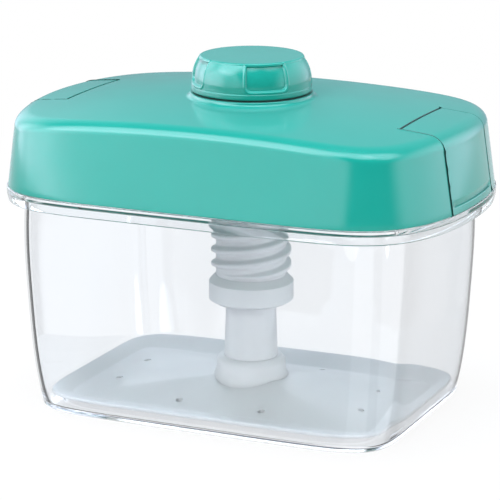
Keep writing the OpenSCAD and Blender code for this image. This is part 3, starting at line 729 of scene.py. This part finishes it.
# How far a grip panel sinks the side at angle a and height h, by the distance d to the edge of a rectangle
# with round lower corners: pressed in inside it, below panelTop, with a low frame outside, a bell curve of d
def panelSink(a, h):
    apart, c, slope = 360 / knob["panels"], knob["panelCorner"], knob["panelSlope"] / 2
    off = (np.degrees(a) - knob["panelTurn"] + apart / 2) % apart - apart / 2
    dx = np.radians(np.abs(off) - knob["panelHalfAngle"]) * knob["footRadius"] + c
    dy = knob["panelFoot"] - h + c
    d = np.hypot(np.maximum(dx, 0), np.maximum(dy, 0)) + np.minimum(np.maximum(dx, dy), 0) - c
    raised = np.exp(-(d / knob["frameWidth"] - knob["frameOff"]) ** 2)
    pressed = ease(np.maximum(d, h - knob["panelTop"]), slope, -slope)
    return knob["panelDepth"] * pressed - knob["frameRise"] * raised


# Knob: socket, ceiling and wall inside, rings up the side with the panels pressed in, round edge, flat top
def gripKnob():
    a = fullTurn(knob["columns"])
    height, edge, wall, foot = knob["height"], knob["edge"], knob["wall"], knob["footRadius"]
    ceiling, socketFoot = height - wall, height - wall - knob["socketDepth"]
    socket, boss = knob["socketRadius"], knob["socketRadius"] + knob["socketWall"]
    wide, small = knob["footRound"]
    inside = [(shared["axisRadius"], ceiling), (socket, ceiling), (socket, socketFoot),
              (boss, socketFoot), (boss, ceiling)]
    inside += [(knobSide(h) - wall, h) for h in np.linspace(ceiling, edge, knob["insideRows"])]
    inside += [(foot - wall, 0), (foot - wide, 0), (foot - small, small), (foot, wide)]
    rows = [roundRow(a, r, knob["foot"] + h) for r, h in inside]
    bandLow, bandHigh = knob["bandTop"] - knob["bandEdge"][0], knob["bandTop"] + knob["bandEdge"][1]
    for h in np.concatenate([np.linspace(*span) for span in knob["sideRows"]]):
        r = knobSide(h) - panelSink(a, h) - knob["bandStep"] * ease(h, bandLow, bandHigh)
        rows.append(roundRow(a, r, knob["foot"] + h))
    rim = knobSide(height - edge) - knob["bandStep"]
    for t in quarterTurn(knob["edgeSteps"])[1:]:
        h = height - edge * (1 - math.sin(t))
        rows.append(roundRow(a, rim - edge * (1 - math.cos(t)) - panelSink(a, h), knob["foot"] + h))
    rows += [rows[-1] * [w, w, 1] for w in knob["topShares"]]
    return addPiece("gripKnob", [ringShell(rows)], "screw", tealPlastic,
                    bevel=knob["edgeRound"], angle=knob["edgeAngle"])


gripKnob()


# Screw tube, collar, spring and stem

screw = {
    "seat": 49.0, "top": 156.0, "threadFoot": 59.8, "threadTop": 146.0, "fade": 1.6, "depth": 2.2,
    "bore": 13.6, "starts": 2, "crestShare": 0.26, "rootShare": 0.4, "cornerEase": 0.1,
    "columns": 120, "rowsPerPitch": 18, "boreRows": 8, "edgeRound": 0.2, "edgeAngle": 60,
}
collar = {
    "level": 46.0, "height": 12.8, "floor": 3.0, "radius": 18.9, "bore": 12.05, "tubeHole": 15.75,
    "boreEdge": 0.6, "footSlope": (2.6, 1.6), "topSlope": (2.9, 3.1),
    "columns": 128, "edgeRound": 0.45, "edgeSegments": 4, "edgeAngle": 20,
}
spring = {
    "turns": 12, "wire": 0.9, "mean": 10.6, "low": 53.4, "high": 153.5, "lap": 2.34,
    "perTurn": 40, "sides": 12,
}
stem = {
    "radius": 11.2, "footRadius": 12.0, "foot": 13.0, "hubTop": 21.0, "taperTop": 46.0, "top": 49.0,
    "columns": 128, "edgeRound": 0.2,
}
headShape = {
    "radius": 13.2, "seat": 49.0, "thickness": 3.4, "peg": 8.56, "pegHeight": 6.0, "pegEdge": 1.0,
    "columns": 96, "edgeRound": 0.3,
}
washer = {"radius": 13.2, "hole": 6.6, "low": 154.5, "high": 156.0, "columns": 96, "edgeRound": 0.2}


# Two-start thread: radius = root + depth x form of the phase, phase = height in pitches less two per turn;
# the form is flat in the groove, slopes and is flat on the crest, with eased corners
def threadedTube():
    a = fullTurn(screw["columns"])
    low, high, soft = screw["threadFoot"], screw["threadTop"], screw["cornerEase"]
    count = int((high - low) / shared["pitch"] * screw["rowsPerPitch"])
    z = np.concatenate([[screw["seat"]], np.linspace(low, high, count), [screw["top"]]])[:, None]
    phase = (z - shared["lugLevel"]) / shared["pitch"] - screw["starts"] * a / (2 * np.pi)
    off = 2 * np.abs(phase - np.round(phase))
    form = ease(off, screw["rootShare"] - soft, 1 - screw["crestShare"] + soft)
    fade = np.clip(np.minimum(z - low, high - z) / screw["fade"], 0, 1)
    r = shared["rootRadius"] + screw["depth"] * fade * form
    outer = np.stack([r * np.cos(a), r * np.sin(a), np.broadcast_to(z, r.shape)], -1)
    down = np.linspace(screw["top"], screw["seat"], screw["boreRows"])
    tube = ringShell(np.concatenate([outer, [roundRow(a, screw["bore"], h) for h in down]]), True)
    return addPiece("threadedTube", [tube], "screw", milkyPlastic,
                    bevel=screw["edgeRound"], angle=screw["edgeAngle"])


# Collar: turned cup with round edges that grips the foot of the tube
def tubeCollar():
    c = collar
    foot, seat, top = c["level"], c["level"] + c["floor"], c["level"] + c["height"]
    profile = [(c["bore"], foot + c["boreEdge"]), (c["bore"] + c["boreEdge"], foot),
               (c["radius"] - c["footSlope"][0], foot), (c["radius"], foot + c["footSlope"][1]),
               (c["radius"], top - c["topSlope"][1]), (c["radius"] - c["topSlope"][0], top),
               (c["tubeHole"], top), (c["tubeHole"], seat), (c["bore"], seat)]
    return addPiece("tubeCollar", [turnedShell(profile, c["columns"], True)], "screw",
                    milkyPlastic, bevel=c["edgeRound"], segments=c["edgeSegments"], angle=c["edgeAngle"])


# Coil: round wire carried along a helix with closed end turns
def coilSpring():
    s = spring
    t = np.linspace(0, s["turns"], s["turns"] * s["perTurn"] + 1)
    rise = (s["high"] - s["low"] - 2 * s["lap"]) / (s["turns"] - 2)
    z = np.where(t < 1, s["low"] + s["lap"] * t, np.where(
        t > s["turns"] - 1, s["high"] - s["lap"] * (s["turns"] - t), s["low"] + s["lap"] + rise * (t - 1)))
    b = fullTurn(s["sides"])
    r = s["mean"] + s["wire"] * np.cos(b)
    a = 2 * np.pi * t[:, None]
    rings = np.stack([r * np.cos(a), r * np.sin(a), z[:, None] + s["wire"] * np.sin(b)], -1)
    piece = addPiece("coilSpring", [ringShell(rings)], "carrier", springSteel)
    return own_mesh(piece)


# Turned stem that widens evenly to its foot, its head with the spring's peg, and the slip ring
def turnedParts():
    s, h, w = stem, headShape, washer
    profile = [(s["footRadius"], s["foot"]), (s["footRadius"], s["hubTop"]),
               (s["radius"], s["taperTop"]), (s["radius"], s["top"])]
    addPiece("pressStem", [turnedShell(profile, s["columns"])], "press", milkyPlastic,
             bevel=s["edgeRound"])
    top, edge = h["seat"] + h["thickness"], h["pegEdge"]
    pegTop = top + h["pegHeight"]
    profile = [(h["radius"], h["seat"]), (h["radius"], top), (h["peg"], top),
               (h["peg"], pegTop - edge), (h["peg"] - edge, pegTop)]
    addPiece("stemHead", [turnedShell(profile, h["columns"])], "press", milkyPlastic,
             bevel=h["edgeRound"])
    profile = [(w["hole"], w["low"]), (w["radius"], w["low"]),
               (w["radius"], w["high"]), (w["hole"], w["high"])]
    addPiece("slipRing", [turnedShell(profile, w["columns"], True)], "carrier",
             washerPlastic, bevel=w["edgeRound"])


threadedTube()
tubeCollar()
coilSpring()
turnedParts()


# Press plate

plate = {
    "half": (80.9, 55.6), "thickness": 1.8, "border": (8.0, 15.0), "valley": 4.6, "edge": 7.8, "peak": 12.1,
    "bow": (14.0, 14.0), "peakHalf": (14.0, 9.0), "rimRound": (0.7, 0.2), "cornerSteps": 30,
    "slopeShares": (0, 0.25, 0.5, 0.75, 0.93, 0.99), "borderShares": (0.01, 0.1, 0.5, 0.9),
    "hubRadius": 15.5, "hubTop": 21.0, "hubRound": (3.0, 3.4), "hubSteps": 8, "hubColumns": 96,
    "flare": (6.5, 8.6), "flareFoot": 8.2, "bore": 12.05, "boreFloor": 13.0,
    "drainRadius": 1.7, "drains": ((59.5, 14.5), (20.0, 33.5)), "drillSpan": (-10, 30), "drillSides": 32,
}


# Shell with upright round holes drilled through it at the given points
def drilled(shell, holes):
    r, (low, high) = plate["drainRadius"], plate["drillSpan"]
    points, faces = turnedShell([(r, low), (r, high)], plate["drillSides"])
    blank = shellObject("blank", [shell])
    drill = shellObject("drill", [(points + [x, y, 0], faces) for x, y in holes])
    cut = blank.modifiers.new("cut", "BOOLEAN")
    cut.object, cut.operation, cut.solver = drill, "DIFFERENCE", "EXACT"
    held = blank.evaluated_get(bpy.context.evaluated_depsgraph_get()).to_mesh()
    held.calc_loop_triangles()
    corners = np.array([v.co[:] for v in held.vertices])
    triangles = np.array([t.vertices[:] for t in held.loop_triangles])
    for spent in (blank, drill):
        bpy.data.objects.remove(spent)
    return corners, [triangles]


# Plate: pyramid from the hub down to the valley, border sloping up to a round edge, the same set down by the
# thickness, and the hub turned on top of it; all rings break at their corners, where both terms of their
# outline's formula are a half, so the hips run straight
def pressPlate():
    p = plate
    half, t, edge = np.array(p["half"]), p["thickness"], p["edge"]
    valley, peak = half - p["border"], np.array(p["peakHalf"])
    wide, small = p["rimRound"]

    def ring(h, bow, z):
        return lifted(brokenLoop(h, bow, h[1] * 0.5 ** (1 / bow[1]), p["cornerSteps"], p["cornerSteps"]), z)

    def rim(inset, z):
        return ring(half - inset, shared["wallBow"], z)

    def slope(w):
        return ring(peak + (valley - peak) * w, p["bow"], p["peak"] + (p["valley"] - p["peak"]) * w)

    foot, top = slope(1.0), rim(wide, edge)
    face = [slope(w) for w in p["slopeShares"]] + [foot + (top - foot) * w for w in p["borderShares"]]
    under = [row - [0, 0, t] for row in face]
    brim = [rim(wide, edge - t), rim(small, edge - t + small), rim(0, edge - t + wide),
            rim(0, edge - wide), rim(small, edge - small), top]
    holes = [(sx * x, sy * y) for x, y in p["drains"] for sx in (-1, 1) for sy in (-1, 1)]
    sheet = drilled(ringShell(under + brim + face[::-1]), holes)
    r, (rx, rz), (fx, fz), low = p["hubRadius"], p["hubRound"], p["flare"], p["flareFoot"]
    a = quarterTurn(p["hubSteps"])
    hub = np.stack([r + fx * (1 - np.sin(a)), low + fz * (1 - np.cos(a))], 1).tolist()
    hub += np.stack([r - rx * (1 - np.cos(a)), p["hubTop"] - rz * (1 - np.sin(a))], 1).tolist()
    hub += [(p["bore"], p["hubTop"]), (p["bore"], p["boreFloor"])]
    shells = [sheet, turnedShell(hub, p["hubColumns"])]
    return addPiece("pressPlate", shells, "press", milkyPlastic)


pressPlate()


# Floor, light and camera

# In metres, degrees and, for the lens and its sensor, millimetres
stage = {
    "floorRadius": 1.1, "floorRings": (0.05, 0.2, 0.5, 1.0), "floorColumns": 96, "floorLevel": -0.0003,
    "floorGrey": (0.86, 0.86, 0.86, 1), "azimuth": 24.173, "elevation": 14.631, "distance": 1.137,
    "target": (0.0, 0.0, 0.0693), "sideways": -0.000786, "lens": 182.02, "sensor": 36.0,
}
studio = {
    "ambient": 0.4, "inside": 0.6, "dimRoom": 0.03,
    "lampTint": (0.97, 0.99, 1.0), "skyTint": (0.9, 0.97, 1.1),
    "fieldTint": (0.9, 0.95, 1.12, 1.0), "windowTint": (0.985, 0.99, 1.02, 1.0),
    # What light that is mirrored inside a clear wall shows: white, but for dim bands at these sines
    "bandSide": (0.3, 0.36, 0.72, 0.78), "bandUp": (0.3, 0.36, 0.72, 0.78), "bandLevel": 0.02,
    # The floor's own white near the part and far from it, the rest being shadow, at these distances in
    # metres, and its level where gloss mirrors it
    "floorShare": (0.92, 1.0), "floorShade": (0.25, 0.6), "floorMirror": 0.8,
    # Light fields that gloss mirrors: azimuth, elevation, full within, gone beyond, in degrees, and level
    "fields": {
        "overhead": (-34, 46, 8, 26, 6.5), "overheadMid": (20, 62, 8, 24, 5.0),
        "overheadRight": (84, 60, 8, 28, 4.5),
        "front": (-34, 0, 33, 43, 2.4), "frontLeft": (-70, 6, 24, 46, 3.6), "right": (122, -5, 26, 56, 2.4),
        "backdrop": (204, 28, 32, 80, 0.24), "left": (-106, 12, 20, 46, 1.7)},
    # Lamps: place and aim in metres, diameter, watts and tint
    "lamps": {
        "overhead": ((0.0, -0.15, 1.3), (0, 0, 0.1), 0.7, 14, "skyTint"),
        "front": ((-0.3, -1.25, 1.1), (0, 0, 0.05), 0.8, 8, "lampTint"),
        "low": ((0.1, -1.6, 0.12), (0, 0, 0.09), 0.6, 2, "lampTint"),
        "right": ((1.5, 0.1, 0.12), (0, 0, 0.1), 0.6, 5, "lampTint"),
        "back": ((-0.8, 1.3, 0.95), (0, 0, 0.05), 1.0, 11, "skyTint")},
    "bounces": 32, "clearBounces": 24,
}
onceBounced = 0.5  # a depth counter is above this from the first bounce on


# Unit vector at an azimuth from -Y towards +X and an elevation, in degrees
def heading(azimuth, elevation):
    az, el = math.radians(azimuth), math.radians(elevation)
    return math.sin(az) * math.cos(el), -math.cos(az) * math.cos(el), math.sin(el)


# Floor: white to the camera and to reflections, with a share left for the part's shadow near it; rays that
# come through clear walls pass it and see the world, which is white straight on
def paleFloor():
    cols = stage["floorColumns"]
    a, radius, level = fullTurn(cols), stage["floorRadius"], stage["floorLevel"]
    rings = [roundRow(a, share * radius, level) for share in stage["floorRings"]]
    quads = gridQuads(len(rings), cols).reshape(-1, 4)[:, ::-1]
    floor = shellObject("paleFloor", [(np.concatenate(rings), [quads, np.arange(cols)[None]])])
    material = bpy.data.materials.new("paleFloor")
    material.use_nodes = True
    tree = material.node_tree
    tree.nodes.remove(tree.nodes["Principled BSDF"])
    kinds = ("LightPath", "TexCoord", "VectorMath", "BsdfDiffuse", "Emission", "BsdfTransparent")
    path, place, away, matt, glow, through = (tree.nodes.new("ShaderNode" + kind) for kind in kinds)
    matt.inputs["Color"].default_value = stage["floorGrey"]
    away.operation = "LENGTH"
    tree.links.new(place.outputs["Object"], away.inputs[0])
    share = stepNode(tree, away.outputs["Value"], *studio["floorShade"], *studio["floorShare"])
    camera, gloss = path.outputs["Is Camera Ray"], path.outputs["Is Glossy Ray"]
    direct = mathNode(tree, "LESS_THAN", path.outputs["Diffuse Depth"], onceBounced)
    seen = mathNode(tree, "MULTIPLY", mathNode(tree, "MAXIMUM", camera, gloss), direct)
    passed = mathNode(tree, "MULTIPLY", path.outputs["Is Transmission Ray"], direct)
    feed(tree, glow.inputs["Strength"], mathNode(tree, "MAXIMUM", camera, studio["floorMirror"]))
    white = mathNode(tree, "MULTIPLY", seen, share)
    surface = mixedShader(tree, white, matt.outputs["BSDF"], glow.outputs["Emission"])
    surface = mixedShader(tree, passed, surface, through.outputs["BSDF"])
    tree.links.new(surface, tree.nodes["Material Output"].inputs["Surface"])
    floor.data.materials.append(material)


# World: white to the camera and straight through clear walls, where light mirrored inside a wall meets dim
# bands that draw its edges; gloss mirrors soft light fields, each a smooth step of the angle from its middle;
# the rest lights evenly
def studioWorld():
    world = bpy.data.worlds.new("studio")
    bpy.context.scene.world = world
    world.use_nodes = True
    tree = world.node_tree
    sky = tree.nodes["Background"]
    path, place = tree.nodes.new("ShaderNodeLightPath"), tree.nodes.new("ShaderNodeTexCoord")
    camera, gloss, clear = (path.outputs[f"Is {kind} Ray"] for kind in ("Camera", "Glossy", "Transmission"))

    def stepAlong(axis, low, high, toLow, toHigh):
        along = tree.nodes.new("ShaderNodeVectorMath")
        along.operation = "DOT_PRODUCT"
        along.inputs[1].default_value = axis
        tree.links.new(place.outputs["Generated"], along.inputs[0])
        return stepNode(tree, along.outputs["Value"], low, high, toLow, toHigh)

    def chosen(share, low, high, kind="FLOAT"):
        mix = tree.nodes.new("ShaderNodeMix")
        mix.data_type = kind
        for label, value in (("Factor", share), ("A", low), ("B", high)):
            feed(tree, mix.inputs[label], value)
        return mix.outputs["Result"]

    def bounced(kind):
        return mathNode(tree, "GREATER_THAN", path.outputs[kind + " Depth"], onceBounced)

    ahead, dim = stage["azimuth"] + 180, studio["bandLevel"]
    window = 1.0
    for axis, limits in ((heading(ahead - 90, 0), "bandSide"), (heading(ahead + 90, 0), "bandSide"),
                         ((0, 0, 1), "bandUp")):
        start, dark, bright, end = studio[limits]
        fall, rise = stepAlong(axis, start, dark, 1.0, dim), stepAlong(axis, bright, end, dim, 1.0)
        window = mathNode(tree, "MULTIPLY", window, mathNode(tree, "MAXIMUM", fall, rise))
    window = chosen(bounced("Glossy"), 1.0, window)
    mirrored = studio["dimRoom"]
    for azimuth, elevation, full, gone, level in studio["fields"].values():
        limits = math.cos(math.radians(gone)), math.cos(math.radians(full))
        field = stepAlong(heading(azimuth, elevation), *limits, 0.0, level)
        mirrored = mathNode(tree, "ADD", mirrored, field)
    level = chosen(gloss, studio["ambient"], mirrored)
    level = chosen(clear, level, window)
    lighting = chosen(clear, studio["ambient"], studio["inside"])
    level = chosen(bounced("Diffuse"), level, lighting)
    tree.links.new(chosen(camera, level, 1.0), sky.inputs["Strength"])
    colour = chosen(gloss, (1, 1, 1, 1), studio["fieldTint"], "RGBA")
    tree.links.new(chosen(clear, colour, studio["windowTint"], "RGBA"), sky.inputs["Color"])


# Lamp or camera at a place, looking along a direction
def aimed(name, data, place, direction):
    holder = linked(name, data)
    holder.location = place
    holder.rotation_mode = "QUATERNION"
    holder.rotation_quaternion = direction.to_track_quat("-Z", "Y")
    return holder


# Soft lamp; gloss mirrors the world's light fields instead of it
def softLamp(name, place, aim, size, power, tint):
    lamp = bpy.data.lights.new(name, "AREA")
    lamp.shape, lamp.size, lamp.energy, lamp.color = "DISK", size, power, studio[tint]
    aimed(name, lamp, place, Vector(aim) - Vector(place)).visible_glossy = False


# Camera fitted to the photo: aimed at the target, then moved sideways
def photoCamera():
    back = Vector(heading(stage["azimuth"], stage["elevation"]))
    right = Vector(heading(stage["azimuth"] + 90, 0))
    data = bpy.data.cameras.new("photoCamera")
    data.sensor_width, data.lens = stage["sensor"], stage["lens"]
    place = Vector(stage["target"]) + right * stage["sideways"] + back * stage["distance"]
    bpy.context.scene.camera = aimed("photoCamera", data, place, -back)


paleFloor()
studioWorld()
for lampName, lampValues in studio["lamps"].items():
    softLamp(lampName, *lampValues)
photoCamera()
cycles = bpy.context.scene.cycles
cycles.max_bounces = studio["bounces"]
cycles.glossy_bounces = cycles.transmission_bounces = studio["clearBounces"]
bpy.context.scene.view_settings.view_transform = "Standard"
print("floor, light and camera made")
